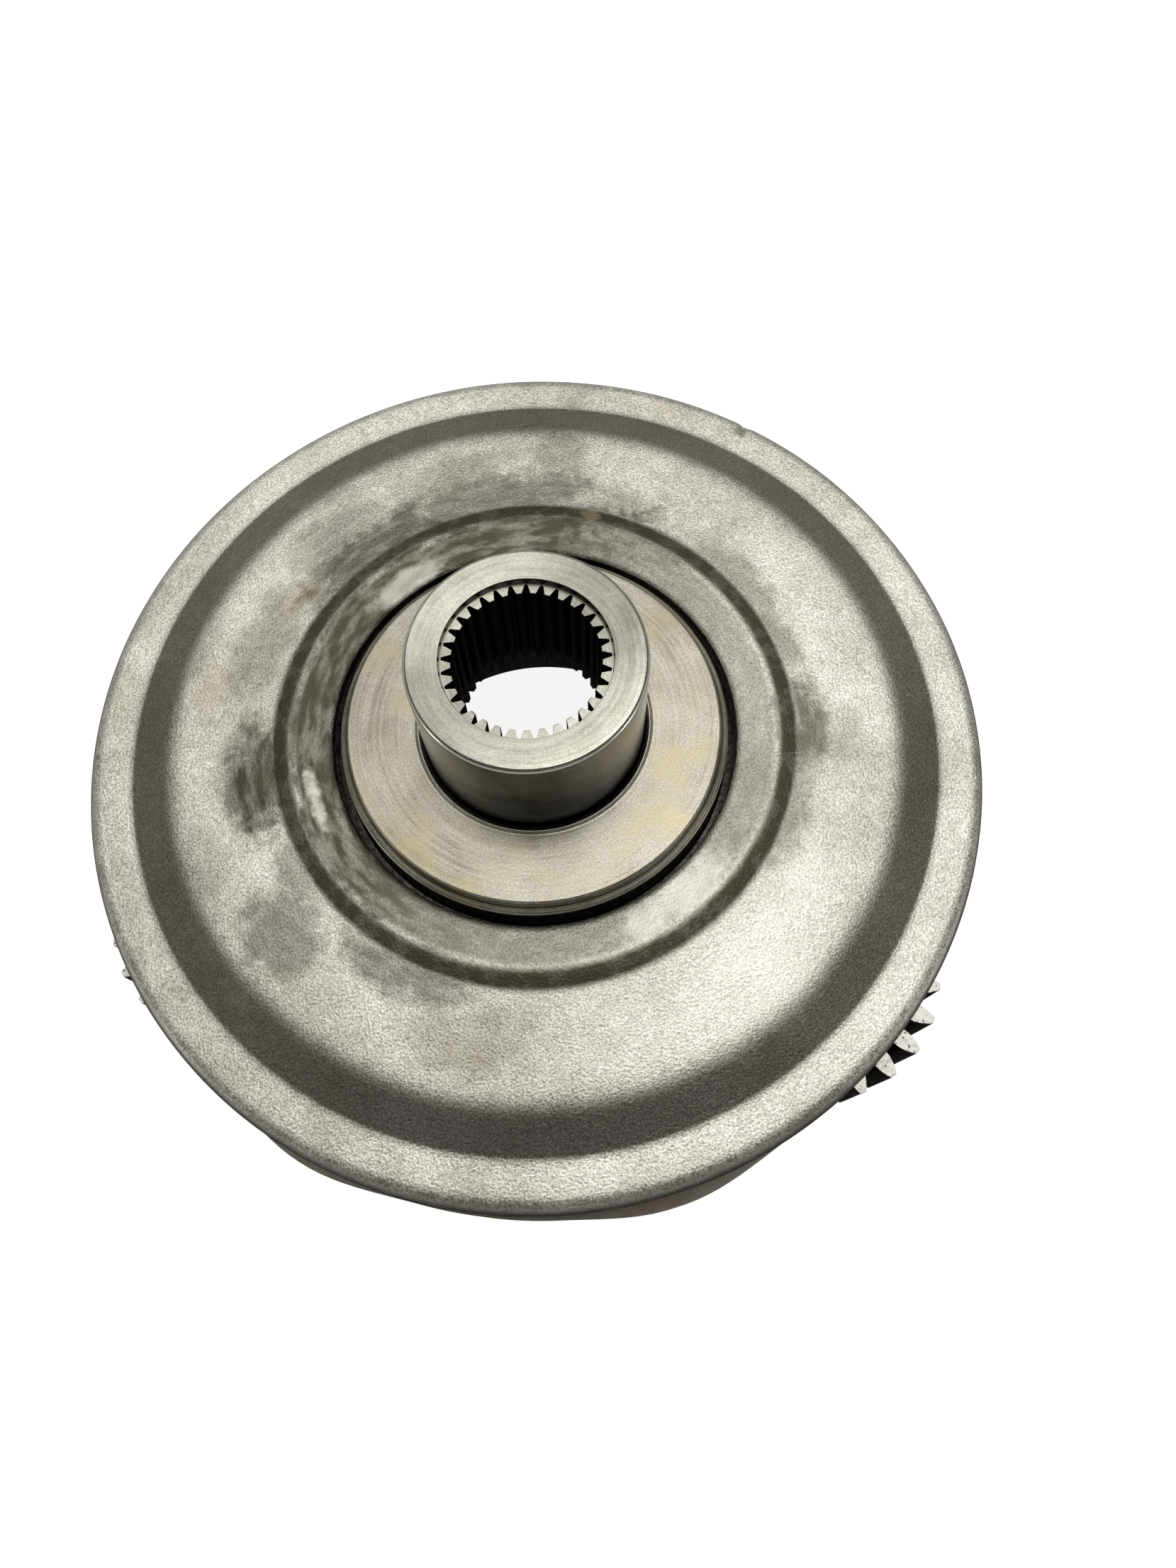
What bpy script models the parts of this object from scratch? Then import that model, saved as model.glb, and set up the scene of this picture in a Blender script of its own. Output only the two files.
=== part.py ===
"""Planetary gear set: a sun gear with a splined hub, three planet gears and their carrier,
closed at the front by a pressed steel cover.

Metres, +Z up. The origin is on the gear axis, in the plane of the carrier's rear face, and +Z
points out of the splined hub. Sizes below are in millimetres and angles in degrees.
"""

import math

import bmesh
import bpy

MM = 0.001
GAP = 0.3  # between pieces that touch on the real object

# Gear train
MODULE = 1.88
PRESSURE_ANGLE = math.radians(20)
SUN_TEETH = 43
PLANET_TEETH = 23
PLANET_COUNT = 3
FIRST_PLANET = -45.0  # direction of planet 1 from the gear axis
FIRST_TOOTH = -17.4  # direction of one tooth of planet 1 from that planet's axis
TOOTH_THINNING = 0.16  # taken off each tooth's thickness, for backlash
ADDENDUM = 1.0 * MODULE
DEDENDUM = 1.25 * MODULE
PLANET_ORBIT = MODULE * (SUN_TEETH + PLANET_TEETH) / 2
PLANET_TIP = MODULE * PLANET_TEETH / 2 + ADDENDUM

# Levels along the axis, from the carrier's rear face up
REAR_PLATE_TOP = 9.0
PLANET_BOTTOM = 10.6
PLANET_TOP = 29.2
WASHER_THICKNESS = 1.0
FRONT_PLATE_BOTTOM = PLANET_TOP + WASHER_THICKNESS + 2 * GAP
FRONT_PLATE_TOP = 39.8
SUN_BOTTOM = 11.0
SUN_TEETH_TOP = 29.5
COLLAR_BOTTOM = 43.7
COLLAR_TOP = 51.1
RIM_LEVEL = 51.0  # plane through the edge of the cover's rim
FLANGE_TOP = 59.7
HUB_TOP = 84.2

# Carrier
CARRIER_RADIUS = 80.1
LOBE_HEIGHT = 1.7
LOBE_HALF_WIDTH = 16.0
LOBE_FROM_PLANET = 35.7
DOG_TEETH = 36
DOG_TIP = 43.2
DOG_ROOT = 45.6
LEG_INNER = 46.6
WINDOW_CLEARANCE = 1.4
FRONT_PLATE_RADIUS = 76.4
FRONT_PLATE_HOLE = 43.4
LOCK_GROOVE = (65.7, 71.5, 2.1)  # inner radius, outer radius, depth

# Planet pins, needles and washers
PIN_RADIUS = 8.5
PIN_CHAMFER = 0.8
PLANET_BORE = 11.6
NEEDLE_COUNT = 12
WASHER_OUTER = 15.5

# Thrust bearings, each as (inner radius, outer radius, bottom, top)
REAR_RACE = (43.6, 49.5, 40.1, 41.1)
REAR_BEARING = (43.6, 49.3, 41.4, 43.4)
FRONT_BEARING = (34.9, 41.5, 51.4, 53.2)
FRONT_RACE = (35.0, 41.5, 53.5, 54.3)
REAR_ROLLERS = 24
FRONT_ROLLERS = 20

# Sun gear: neck through the front plate, collar, flange and bell-shaped bore
NECK_RADIUS = 36.0
JOURNAL_RADIUS = 43.1  # centres the rear thrust bearing
COLLAR_RADIUS = 49.5
COLLAR_TOP_RADIUS = 42.4
FLANGE_RADIUS = 33.4
BELL_RADIUS = 33.0

# Splined hub
SPLINE_TEETH = 33
SPLINE_TOOTH_AT = 0.5
SPLINE_TIP = 11.5
SPLINE_ROOT = 13.05
SPLINE_BOTTOM = 60.5
SPLINE_TOP = 82.9
HUB_RADIUS = 18.75
HUB_BORE = 13.2

# Cover
COVER_THICKNESS = 2.3
COVER_HOLE = 34.8
SKIRT_RADIUS = 79.1
SKIRT_BOTTOM = 32.5

ROUND = 64  # sides of a large circle
SUN_ROUND = 48  # sides of the sun gear's turned parts and of the rings round it
SMALL_ROUND = 24  # sides of a small circle


# ---------------------------------------------------------------- outlines

def polar(radius, degrees, centre=(0.0, 0.0)):
    angle = math.radians(degrees)
    return (centre[0] + radius * math.cos(angle), centre[1] + radius * math.sin(angle))


def circle(radius, sides=ROUND, centre=(0.0, 0.0)):
    return [polar(radius, 360 * i / sides, centre) for i in range(sides)]


def involute(angle):
    return math.tan(angle) - angle


def tooth_half_angle(teeth, radius):
    """Half the angle, in degrees, that one tooth fills at this radius."""
    pitch = MODULE * teeth / 2
    base = pitch * math.cos(PRESSURE_ANGLE)
    at_pitch = (math.pi / 2 - TOOTH_THINNING / MODULE) / teeth
    here = math.acos(min(1.0, base / radius))
    return math.degrees(at_pitch + involute(PRESSURE_ANGLE) - involute(here))


def gear_outline(teeth, tooth_at, flank_points, centre=(0.0, 0.0)):
    """An external spur gear's outline, counter-clockwise, with one tooth centred at tooth_at."""
    pitch = MODULE * teeth / 2
    root = pitch - DEDENDUM
    tip = pitch + ADDENDUM
    radii = [root + (tip - root) * i / (flank_points - 1) for i in range(flank_points)]
    outline = []
    for tooth in range(teeth):
        middle = tooth_at + 360 * tooth / teeth
        outline += [polar(r, middle - tooth_half_angle(teeth, r), centre) for r in radii]
        outline += [polar(r, middle + tooth_half_angle(teeth, r), centre) for r in radii[::-1]]
    return outline


def inner_teeth_outline(teeth, tooth_at, tip, root, tip_share, root_share):
    """An internal spline's outline, counter-clockwise. The shares are a tooth's width at its
    tip and at its root, as parts of the pitch."""
    pitch = 360 / teeth
    outline = []
    for tooth in range(teeth):
        middle = tooth_at + pitch * tooth
        outline.append(polar(root, middle - pitch * root_share / 2))
        outline.append(polar(tip, middle - pitch * tip_share / 2))
        outline.append(polar(tip, middle + pitch * tip_share / 2))
        outline.append(polar(root, middle + pitch * root_share / 2))
    return outline


def planet_direction(number):
    return FIRST_PLANET + 360 * number / PLANET_COUNT


def planet_centre(number):
    return polar(PLANET_ORBIT, planet_direction(number))


def sun_tooth_at():
    """Direction of one sun tooth, so that planet 1 meshes with its own tooth at FIRST_TOOTH."""
    facing = PLANET_TEETH * (FIRST_PLANET + 180 - FIRST_TOOTH) / 360
    return FIRST_PLANET - (360 / SUN_TEETH) * (0.5 - facing)


def planet_tooth_at(number):
    """Direction of one tooth of this planet, in mesh with the sun gear."""
    direction = planet_direction(number)
    sun_phase = SUN_TEETH * (direction - sun_tooth_at()) / 360
    return direction + 180 - (360 / PLANET_TEETH) * (0.5 - sun_phase)


def carrier_radius(degrees, base=CARRIER_RADIUS):
    """The carrier's outer radius: round, with a shallow lobe on each side of each planet."""
    from_planet = (degrees - FIRST_PLANET) % (360 / PLANET_COUNT)
    radius = base
    for lobe in (LOBE_FROM_PLANET, 360 / PLANET_COUNT - LOBE_FROM_PLANET):
        off = (from_planet - lobe) / LOBE_HALF_WIDTH
        if abs(off) < 1:
            radius += LOBE_HEIGHT * math.cos(math.pi / 2 * off) ** 2
    return radius


# ---------------------------------------------------------------- meshes

def material(name, colour, roughness, metallic=1.0):
    """A Principled material of one colour."""
    made = bpy.data.materials.new(name)
    made.use_nodes = True
    shader = made.node_tree.nodes["Principled BSDF"]
    shader.inputs["Base Color"].default_value = (*colour, 1.0)
    shader.inputs["Roughness"].default_value = roughness
    shader.inputs["Metallic"].default_value = metallic
    return made


def add_object(name, mesh_data, surface, origin=(0.0, 0.0)):
    """Links one object whose origin stands on its own axis at origin."""
    made = bpy.data.meshes.new(name)
    bmesh.ops.translate(mesh_data, verts=mesh_data.verts, vec=(-origin[0] * MM, -origin[1] * MM, 0))
    bmesh.ops.recalc_face_normals(mesh_data, faces=mesh_data.faces)
    mesh_data.to_mesh(made)
    mesh_data.free()
    made.materials.append(surface)
    made.shade_smooth()
    made.set_sharp_from_angle(angle=math.radians(30))
    obj = bpy.data.objects.new(name, made)
    obj.location = (origin[0] * MM, origin[1] * MM, 0)
    bpy.context.scene.collection.objects.link(obj)
    return obj


def loop_of(bm, outline, level):
    return [bm.verts.new((x * MM, y * MM, level * MM)) for x, y in outline]


def wall_between(bm, lower, upper):
    """Joins two loops: side by side where they match, and by a flat fill where they don't."""
    count = len(lower)
    if count == len(upper):
        for i in range(count):
            j = (i + 1) % count
            bm.faces.new((lower[i], lower[j], upper[j], upper[i]))
        return
    edges = []
    for ring in (lower, upper):
        for i, vert in enumerate(ring):
            after = ring[(i + 1) % len(ring)]
            edges.append(bm.edges.get((vert, after)) or bm.edges.new((vert, after)))
    bmesh.ops.triangle_fill(bm, use_beauty=True, use_dissolve=False, edges=edges)


def ring_solid(name, loops, surface, origin=(0.0, 0.0)):
    """A solid with a hole through it, from loops of (outline, level) that go up its outside and
    down its inside."""
    bm = bmesh.new()
    rings = [loop_of(bm, outline, level) for outline, level in loops]
    for ring, following in zip(rings, rings[1:] + rings[:1]):
        wall_between(bm, ring, following)
    return add_object(name, bm, surface, origin)


def full_solid(name, loops, surface, origin=(0.0, 0.0)):
    """A solid without a hole, from loops of (outline, level) from its bottom to its top."""
    bm = bmesh.new()
    rings = [loop_of(bm, outline, level) for outline, level in loops]
    for ring, following in zip(rings, rings[1:]):
        wall_between(bm, ring, following)
    bm.faces.new(rings[0][::-1])
    bm.faces.new(rings[-1])
    return add_object(name, bm, surface, origin)


def turned(name, profile, surface, sides=ROUND):
    """A turned ring from a closed profile of (radius, level), up its outside, down its inside."""
    return ring_solid(name, [(circle(r, sides), level) for r, level in profile], surface)


def flat_ring(name, inner, outer, bottom, top, surface, sides=ROUND, centre=(0.0, 0.0)):
    """A washer or race."""
    outside = circle(outer, sides, centre)
    inside = circle(inner, sides, centre)
    loops = [(outside, bottom), (outside, top), (inside, top), (inside, bottom)]
    return ring_solid(name, loops, surface, centre)


def tool(obj):
    """Marks an object that only shapes another one."""
    obj.hide_render = True
    obj.display_type = "WIRE"
    return obj


def shape_by(obj, operation, shaper):
    modifier = obj.modifiers.new(shaper.name, "BOOLEAN")
    modifier.operation = operation
    modifier.solver = "EXACT"
    modifier.object = shaper


# ---------------------------------------------------------------- pieces

def make_cover(surface):
    """The pressed cover: a flat ring round the hole, a soft step, a shallow cone, a slope down
    to the flat rim, and a rounded edge that runs into the skirt."""
    outer_face = [
        (SKIRT_RADIUS, SKIRT_BOTTOM),
        (SKIRT_RADIUS, RIM_LEVEL - 1.6),
        (78.6, RIM_LEVEL - 0.3),
        (77.2, RIM_LEVEL + 0.6),
        (70.6, RIM_LEVEL + 1.2),
        (62.4, RIM_LEVEL + 4.1),
        (44.2, RIM_LEVEL + 5.8),
        (41.6, RIM_LEVEL + 6.4),
        (35.6, RIM_LEVEL + 6.0),
        (COVER_HOLE, RIM_LEVEL + 5.6),
    ]
    inner_face = [
        (COVER_HOLE, RIM_LEVEL + 3.6),
        (41.8, RIM_LEVEL + 3.9),
        (44.4, RIM_LEVEL + 3.5),
        (61.8, RIM_LEVEL + 4.1 - COVER_THICKNESS),
        (69.8, RIM_LEVEL + 1.2 - COVER_THICKNESS),
        (76.2, RIM_LEVEL + 0.6 - COVER_THICKNESS),
        (SKIRT_RADIUS - COVER_THICKNESS, RIM_LEVEL - 3.0),
        (SKIRT_RADIUS - COVER_THICKNESS, SKIRT_BOTTOM),
    ]
    turned("stamped_cover", outer_face + inner_face, surface)


def make_sun_gear(surface):
    """One piece from top to bottom: splined hub, undercut and bead, flange, collar between the
    two thrust bearings, neck through the front plate, and the sun teeth. The bore opens like a
    bell below the spline."""
    teeth = gear_outline(SUN_TEETH, sun_tooth_at(), flank_points=3)
    spline = inner_teeth_outline(SPLINE_TEETH, SPLINE_TOOTH_AT, SPLINE_TIP, SPLINE_ROOT, 0.34, 0.8)
    outside = [
        (NECK_RADIUS, SUN_TEETH_TOP),
        (NECK_RADIUS, FRONT_PLATE_TOP + GAP),
        (JOURNAL_RADIUS, FRONT_PLATE_TOP + GAP + 0.6),
        (JOURNAL_RADIUS, COLLAR_BOTTOM),
        (COLLAR_RADIUS, COLLAR_BOTTOM),
        (COLLAR_RADIUS, COLLAR_TOP - 3.5),
        (COLLAR_TOP_RADIUS, COLLAR_TOP),
        (FLANGE_RADIUS, COLLAR_TOP),
        (FLANGE_RADIUS, RIM_LEVEL + 6.4),
        (33.1, RIM_LEVEL + 6.8),
        (32.4, RIM_LEVEL + 7.0),
        (32.2, RIM_LEVEL + 7.5),
        (31.8, FLANGE_TOP),
        (20.2, FLANGE_TOP),
        (19.8, FLANGE_TOP + 0.4),
        (19.2, FLANGE_TOP + 0.2),
        (17.7, FLANGE_TOP - 0.5),
        (17.7, FLANGE_TOP + 0.9),
        (HUB_RADIUS, FLANGE_TOP + 1.5),
        (HUB_RADIUS, HUB_TOP - 0.5),
        (HUB_RADIUS - 0.5, HUB_TOP),
    ]
    mouth = [
        (HUB_BORE + 0.4, HUB_TOP),
        (HUB_BORE, HUB_TOP - 0.4),
        (HUB_BORE, SPLINE_TOP),
    ]
    bell = [
        (HUB_BORE, SPLINE_BOTTOM),
        (15.0, 58.6),
        (27.6, 34.0),
        (BELL_RADIUS, 31.0),
        (BELL_RADIUS, SUN_BOTTOM + 2.0),
        (BELL_RADIUS + 1.6, SUN_BOTTOM),
    ]
    loops = [(teeth, SUN_BOTTOM), (teeth, SUN_TEETH_TOP)]
    loops += [(circle(r, SUN_ROUND), level) for r, level in outside + mouth]
    loops += [(spline, SPLINE_TOP), (spline, SPLINE_BOTTOM)]
    loops += [(circle(r, SUN_ROUND), level) for r, level in bell]
    ring_solid("sun_gear", loops, surface)


def make_planet_gear(number, surface):
    centre = planet_centre(number)
    teeth = gear_outline(PLANET_TEETH, planet_tooth_at(number), flank_points=4, centre=centre)
    bore = circle(PLANET_BORE, SMALL_ROUND, centre)
    loops = [(teeth, PLANET_BOTTOM), (teeth, PLANET_TOP), (bore, PLANET_TOP), (bore, PLANET_BOTTOM)]
    ring_solid(f"planet_gear_{number + 1}", loops, surface, centre)


def make_needle_bearing(number, surface):
    """Caged needles as one ring, thick at each roller and thin at the cage between two."""
    centre = planet_centre(number)
    outer = PLANET_BORE - GAP
    inner = PIN_RADIUS + GAP
    cage = 0.6
    outside = []
    inside = []
    for roller in range(NEEDLE_COUNT):
        for share, inset in ((-0.26, 0.0), (0.26, 0.0), (0.34, cage), (0.66, cage)):
            degrees = 360 * (roller + share) / NEEDLE_COUNT
            outside.append(polar(outer - inset, degrees, centre))
            inside.append(polar(inner + inset, degrees, centre))
    bottom = PLANET_BOTTOM + GAP
    top = PLANET_TOP - GAP
    loops = [(outside, bottom), (outside, top), (inside, top), (inside, bottom)]
    ring_solid(f"needle_bearing_{number + 1}", loops, surface, centre)


def make_thrust_bearing(name, size, rollers, surface):
    """Caged thrust needles as one ring, with a rib above and below the cage at each roller."""
    inner, outer, bottom, top = size
    cage = 0.4
    bm = bmesh.new()
    sections = []
    for roller in range(rollers):
        for share, inset in ((-0.25, 0.0), (0.25, 0.0), (0.3, cage), (0.7, cage)):
            degrees = 360 * (roller + share) / rollers
            corners = [(outer, bottom + inset), (outer, top - inset), (inner, top - inset)]
            corners.append((inner, bottom + inset))
            section = []
            for radius, level in corners:
                x, y = polar(radius, degrees)
                section.append(bm.verts.new((x * MM, y * MM, level * MM)))
            sections.append(section)
    for section, following in zip(sections, sections[1:] + sections[:1]):
        wall_between(bm, section, following)
    add_object(name, bm, surface)


def make_planet_pin(number, groove, surface):
    """A pin through both carrier plates, its rear end stepped for the lock ring."""
    centre = planet_centre(number)
    bottom = GAP
    top = FRONT_PLATE_TOP - 0.4
    loops = []
    for radius, level in (
        (PIN_RADIUS - PIN_CHAMFER, bottom),
        (PIN_RADIUS, bottom + PIN_CHAMFER),
        (PIN_RADIUS, top - PIN_CHAMFER),
        (PIN_RADIUS - PIN_CHAMFER, top),
    ):
        loops.append((circle(radius, SMALL_ROUND, centre), level))
    pin = full_solid(f"planet_pin_{number + 1}", loops, surface, centre)
    shape_by(pin, "DIFFERENCE", groove)


def make_washers(number, surface):
    centre = planet_centre(number)
    for place, bottom in (("front", PLANET_TOP + GAP), ("rear", REAR_PLATE_TOP + GAP)):
        name = f"{place}_washer_{number + 1}"
        top = bottom + WASHER_THICKNESS
        flat_ring(name, PIN_RADIUS + 0.4, WASHER_OUTER, bottom, top, surface, SMALL_ROUND, centre)


def leg_outline(number):
    """The leg between this planet and the next: round outside and inside, and hollowed on both
    sides round the planets' tips."""
    clearance = PLANET_TIP + WINDOW_CLEARANCE
    first = planet_direction(number)
    last = first + 360 / PLANET_COUNT
    outer = CARRIER_RADIUS - 0.4

    def off_planet(radius):
        cosine = (radius ** 2 + PLANET_ORBIT ** 2 - clearance ** 2) / (2 * radius * PLANET_ORBIT)
        return math.degrees(math.acos(cosine))

    steps = 6
    side = [LEG_INNER + (outer - LEG_INNER) * i / steps for i in range(steps)]
    start = first + off_planet(outer)
    end = last - off_planet(outer)
    arc_steps = 24
    arc = [start + (end - start) * i / arc_steps for i in range(arc_steps + 1)]
    inner_start = first + off_planet(LEG_INNER)
    inner_end = last - off_planet(LEG_INNER)
    inner_steps = 8
    inner_span = (inner_end - inner_start) / inner_steps
    outline = [polar(r, first + off_planet(r)) for r in side]
    outline += [polar(carrier_radius(a, outer), a) for a in arc]
    outline += [polar(r, last - off_planet(r)) for r in side[::-1]]
    outline += [polar(LEG_INNER, inner_end - inner_span * i) for i in range(1, inner_steps)]
    return outline


def make_carrier_body(groove, surface):
    """Rear plate with internal dog teeth, three legs, pin holes and the lock ring's groove."""
    sides = 96
    rim = [polar(carrier_radius(360 * i / sides), 360 * i / sides) for i in range(sides)]
    dogs = inner_teeth_outline(DOG_TEETH, 0.0, DOG_TIP, DOG_ROOT, 0.42, 0.56)
    loops = [(rim, 0.0), (rim, REAR_PLATE_TOP), (dogs, REAR_PLATE_TOP), (dogs, 0.0)]
    body = ring_solid("carrier_body", loops, surface)
    for number in range(PLANET_COUNT):
        foot = REAR_PLATE_TOP / 2
        head = FRONT_PLATE_BOTTOM - GAP
        outline = leg_outline(number)
        leg = full_solid(f"leg_tool_{number + 1}", [(outline, foot), (outline, head)], surface)
        shape_by(body, "UNION", tool(leg))
    for number in range(PLANET_COUNT):
        shape_by(body, "DIFFERENCE", pin_hole_tool(number, -1.0, REAR_PLATE_TOP + 1, surface))
    shape_by(body, "DIFFERENCE", groove)


def pin_hole_tool(number, bottom, top, surface):
    centre = planet_centre(number)
    outline = circle(PIN_RADIUS + GAP, SMALL_ROUND, centre)
    name = f"pin_hole_tool_{number + 1}_{round(top)}"
    return tool(full_solid(name, [(outline, bottom), (outline, top)], surface, centre))


def make_front_plate(surface):
    plate = flat_ring(
        "carrier_front_plate", FRONT_PLATE_HOLE, FRONT_PLATE_RADIUS,
        FRONT_PLATE_BOTTOM, FRONT_PLATE_TOP, surface,
    )
    for number in range(PLANET_COUNT):
        hole = pin_hole_tool(number, FRONT_PLATE_BOTTOM - 1, FRONT_PLATE_TOP + 1, surface)
        shape_by(plate, "DIFFERENCE", hole)


def make_thrust_stack(surface):
    """Race and caged needles on each side of the sun gear's collar."""
    flat_ring("rear_thrust_race", *REAR_RACE, surface, SUN_ROUND)
    make_thrust_bearing("rear_thrust_bearing", REAR_BEARING, REAR_ROLLERS, surface)
    make_thrust_bearing("front_thrust_bearing", FRONT_BEARING, FRONT_ROLLERS, surface)
    flat_ring("front_thrust_race", *FRONT_RACE, surface, SUN_ROUND)


def make_lock_ring(surface):
    inner, outer, depth = LOCK_GROOVE
    flat_ring("pin_lock_ring", inner + GAP, outer - GAP, GAP, depth - GAP, surface)


def main():
    for obj in list(bpy.data.objects):
        bpy.data.objects.remove(obj, do_unlink=True)
    pressed_steel = material("pressed_steel", (0.42, 0.41, 0.38), 0.5)
    ground_steel = material("ground_steel", (0.50, 0.48, 0.44), 0.32)
    gear_steel = material("gear_steel", (0.46, 0.45, 0.43), 0.38)
    carrier_iron = material("carrier_iron", (0.14, 0.13, 0.12), 0.6)
    bearing_steel = material("bearing_steel", (0.55, 0.54, 0.52), 0.25)
    bronze = material("bronze", (0.55, 0.38, 0.20), 0.4)

    inner, outer, depth = LOCK_GROOVE
    groove = tool(flat_ring("lock_groove_tool", inner, outer, -1.0, depth, carrier_iron))
    make_cover(pressed_steel)
    make_sun_gear(ground_steel)
    make_carrier_body(groove, carrier_iron)
    make_front_plate(carrier_iron)
    make_thrust_stack(bearing_steel)
    make_lock_ring(bearing_steel)
    for number in range(PLANET_COUNT):
        make_planet_gear(number, gear_steel)
        make_planet_pin(number, groove, bearing_steel)
        make_needle_bearing(number, bearing_steel)
        make_washers(number, bronze)


main()
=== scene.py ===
"""Detailed visual model of the planetary gear set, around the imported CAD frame.

Lengths in this file are in millimetres and angles in degrees unless a comment says otherwise.
Meshes and object places are turned into metres where they are made.
"""

import math

import bmesh
import bpy
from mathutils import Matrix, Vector, noise


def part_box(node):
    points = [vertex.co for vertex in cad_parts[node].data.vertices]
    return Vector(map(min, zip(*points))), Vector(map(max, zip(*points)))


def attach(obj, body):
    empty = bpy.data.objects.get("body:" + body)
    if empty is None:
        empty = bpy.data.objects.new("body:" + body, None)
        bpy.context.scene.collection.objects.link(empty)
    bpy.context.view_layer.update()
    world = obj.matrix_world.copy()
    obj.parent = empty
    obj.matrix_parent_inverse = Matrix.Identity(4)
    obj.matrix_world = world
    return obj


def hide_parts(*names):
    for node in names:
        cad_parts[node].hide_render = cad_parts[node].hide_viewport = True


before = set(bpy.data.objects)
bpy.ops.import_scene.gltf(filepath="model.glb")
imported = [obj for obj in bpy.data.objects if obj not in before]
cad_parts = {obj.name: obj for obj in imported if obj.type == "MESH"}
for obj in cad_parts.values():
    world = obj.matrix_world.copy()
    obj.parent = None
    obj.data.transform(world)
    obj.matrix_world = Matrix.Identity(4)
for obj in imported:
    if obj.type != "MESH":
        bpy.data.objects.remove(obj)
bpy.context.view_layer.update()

MM = 0.001


def level_of(node, top=True):
    """A CAD node's top or bottom, in millimetres."""
    low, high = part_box(node)
    return (high.z if top else low.z) / MM


def radius_of(node):
    """Half the width of a CAD node, in millimetres."""
    low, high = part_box(node)
    return (high.x - low.x) / 2 / MM


def centre_of(node):
    """The middle of a CAD node seen along Z, in millimetres."""
    low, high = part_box(node)
    return ((low.x + high.x) / 2 / MM, (low.y + high.y) / 2 / MM)


PLANETS = (1, 2, 3)
PLANET_CENTRES = {n: centre_of(f"planet_pin_{n}") for n in PLANETS}
PLANET_ORBIT = math.hypot(*PLANET_CENTRES[1])
FIRST_PLANET = math.degrees(math.atan2(PLANET_CENTRES[1][1], PLANET_CENTRES[1][0]))

# Gear train
MODULE = 1.88
PRESSURE_ANGLE = math.radians(20)
SUN_TEETH = 43
PLANET_TEETH = 23
FIRST_TOOTH = -17.4
TOOTH_THINNING = 0.16
ADDENDUM = 1.0 * MODULE
DEDENDUM = 1.25 * MODULE
PLANET_TIP = MODULE * PLANET_TEETH / 2 + ADDENDUM

# Levels along the axis
REAR_PLATE_TOP = 9.0
PLANET_BOTTOM = level_of("planet_gear_1", top=False)
PLANET_TOP = level_of("planet_gear_1")
PLATE_BOTTOM = level_of("carrier_front_plate", top=False)
PLATE_TOP = level_of("carrier_front_plate")
SUN_BOTTOM = level_of("sun_gear", top=False)
SUN_TEETH_TOP = 29.5
RIM_LEVEL = 51.0
FLANGE_TOP = 59.7
HUB_TOP = level_of("sun_gear")
SKIRT_BOTTOM = level_of("stamped_cover", top=False)

# Radii
SKIRT_RADIUS = radius_of("stamped_cover")
COVER_THICKNESS = 2.3
COVER_HOLE = 34.8
HUB_RADIUS = 18.75
HUB_BORE = 13.2
SPLINE_TEETH = 33
SPLINE_TOOTH_AT = 0.5
SPLINE_TIP = 11.5
SPLINE_ROOT = 13.05
SPLINE_BOTTOM = 60.5
SPLINE_TOP = 82.9
CARRIER_RADIUS = 80.1
LOBE_HEIGHT = 1.7
LOBE_HALF_WIDTH = 16.0
LOBE_FROM_PLANET = 35.7
DOG_TEETH = 36
DOG_TIP = 43.2
DOG_ROOT = 45.6
LEG_INNER = 46.6
WINDOW_CLEARANCE = 1.4
PIN_RADIUS = 8.5
PIN_HOLE = 8.8
PLANET_BORE = 11.6
GROOVE_INNER = 65.7
GROOVE_OUTER = 71.5
GROOVE_DEPTH = 2.1
FRONT_PLATE_HOLE = 43.4
FRONT_PLATE_RADIUS = 76.4

COVER_SIDES = 480
CARRIER_SIDES = 360
RING_SIDES = 192


# ---------------------------------------------------------------- camera, light and floor

CAMERA_AT = (-2.329, -78.469, 239.236)
CAMERA_TURN = (20.3087, 0.2823, -9.0846)  # Euler angles about X, Y and Z
CAMERA_LENS = 26.331
SENSOR = 36.0
FLOOR_RADIUS = 6.0  # metres
BACKDROP = (1.0, 1.0, 0.99, 1.0)

# The room that the steel mirrors, from straight down (0) over the horizon (0.5) to straight up (1).
ROOM = (
    (0.08, (0.030, 0.027, 0.024)),
    (0.20, (0.160, 0.155, 0.145)),
    (0.32, (0.720, 0.715, 0.690)),
    (0.50, (0.800, 0.795, 0.770)),
    (0.58, (0.480, 0.475, 0.455)),
    (0.66, (0.280, 0.275, 0.255)),
    (0.78, (0.150, 0.145, 0.132)),
    (0.90, (0.120, 0.115, 0.105)),
    (1.00, (0.200, 0.195, 0.180)),
)


def make_camera():
    data = bpy.data.cameras.new("camera")
    data.lens = CAMERA_LENS
    data.sensor_fit = "AUTO"
    data.sensor_width = SENSOR
    data.clip_start = 0.01
    camera = bpy.data.objects.new("camera", data)
    camera.location = [value * MM for value in CAMERA_AT]
    camera.rotation_euler = [math.radians(value) for value in CAMERA_TURN]
    bpy.context.scene.collection.objects.link(camera)
    bpy.context.scene.camera = camera


def make_softbox(name, direction, distance, size, power, colour=(1.0, 1.0, 1.0)):
    """A rectangular light that faces the middle of the object. Distance and size are in metres
    and power in watts."""
    data = bpy.data.lights.new(name, "AREA")
    data.shape = "RECTANGLE"
    data.size, data.size_y = size
    data.energy = power
    data.color = colour
    light = bpy.data.objects.new(name, data)
    aim = Vector((0, 0, 50 * MM))
    towards = Vector(direction).normalized()
    light.location = aim + towards * distance
    light.rotation_euler = towards.to_track_quat("Z", "Y").to_euler()
    light.visible_camera = False
    bpy.context.scene.collection.objects.link(light)


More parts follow.
